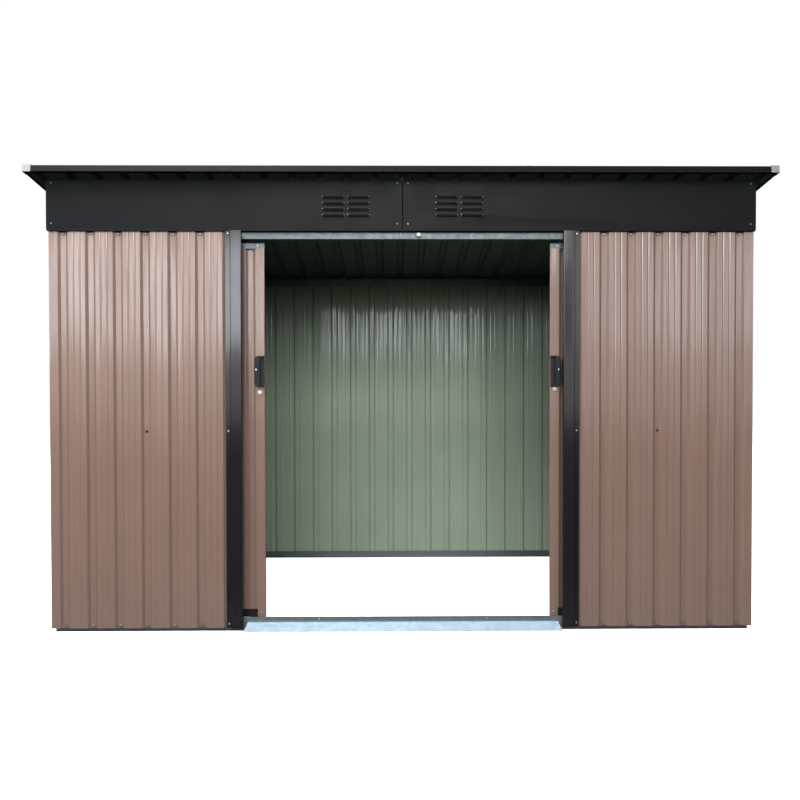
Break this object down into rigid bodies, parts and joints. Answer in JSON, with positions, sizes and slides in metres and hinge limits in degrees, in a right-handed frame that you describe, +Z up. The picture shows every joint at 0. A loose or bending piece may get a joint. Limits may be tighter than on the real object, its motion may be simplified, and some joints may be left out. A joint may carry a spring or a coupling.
{
  "type": "metal storage shed",
  "caption": "Ribbed sheet-metal garden shed with a single-slope overhanging roof, louvred front fascia and a pair of sliding doors.",
  "frame": {"origin": "on the ground under the middle of the roof's plan", "axes": "+X along the front to the right as seen from the front, +Y from front to back, +Z up"},
  "size_m": [2.77, 1.3, 1.7363],
  "materials": {
    "taupe_painted_steel": "gloss",
    "black_painted_steel": "gloss",
    "galvanised_steel": "satin",
    "bare_zinc_sill": "satin",
    "pale_plastic": "satin",
    "black_plastic": "satin"
  },
  "bodies": {
    "shed": {"front_wall_left": "taupe_painted_steel", "front_wall_right": "taupe_painted_steel", "left_wall": "taupe_painted_steel", "right_wall": "taupe_painted_steel", "back_wall_left": "taupe_painted_steel", "back_wall_center": "taupe_painted_steel", "back_wall_right": "taupe_painted_steel", "door_post_left": "black_painted_steel", "door_post_right": "black_painted_steel", "fascia_left": "black_painted_steel", "fascia_right": "black_painted_steel", "gable_left": "black_painted_steel", "gable_right": "black_painted_steel", "roof_sheet_left": "black_painted_steel", "roof_sheet_center": "black_painted_steel", "roof_sheet_right": "black_painted_steel", "roof_trim_front": "black_painted_steel", "roof_trim_back": "black_painted_steel", "roof_trim_left": "black_painted_steel", "roof_trim_right": "black_painted_steel", "base_rail_front_left": "galvanised_steel", "base_rail_front_right": "galvanised_steel", "base_rail_left": "galvanised_steel", "base_rail_right": "galvanised_steel", "base_rail_back": "galvanised_steel", "corner_post_front_left": "galvanised_steel", "corner_post_front_right": "galvanised_steel", "corner_post_back_left": "galvanised_steel", "corner_post_back_right": "galvanised_steel", "front_brace_left": "galvanised_steel", "front_brace_right": "galvanised_steel", "upper_track": "galvanised_steel", "top_rail_left": "galvanised_steel", "top_rail_right": "galvanised_steel", "top_rail_back": "galvanised_steel", "lower_track": "galvanised_steel", "door_sill": "bare_zinc_sill", "roof_corner_caps": "pale_plastic"},
    "door_left": {"left_door_panel": "taupe_painted_steel", "left_door_stiles": "taupe_painted_steel", "left_door_rails": "galvanised_steel", "left_door_hangers": "black_plastic", "left_door_guides": "black_plastic", "left_door_handle": "black_plastic"},
    "door_right": {"right_door_panel": "taupe_painted_steel", "right_door_stiles": "taupe_painted_steel", "right_door_rails": "galvanised_steel", "right_door_hangers": "black_plastic", "right_door_guides": "black_plastic", "right_door_handle": "black_plastic"}
  },
  "joints": [
    {"name": "left_door_slide", "type": "slide", "parent": "shed", "child": "door_left", "axis": [1, 0, 0], "range_m": [-0.045, 0.522]},
    {"name": "right_door_slide", "type": "slide", "parent": "shed", "child": "door_right", "axis": [-1, 0, 0], "range_m": [-0.007, 0.56]}
  ]
}
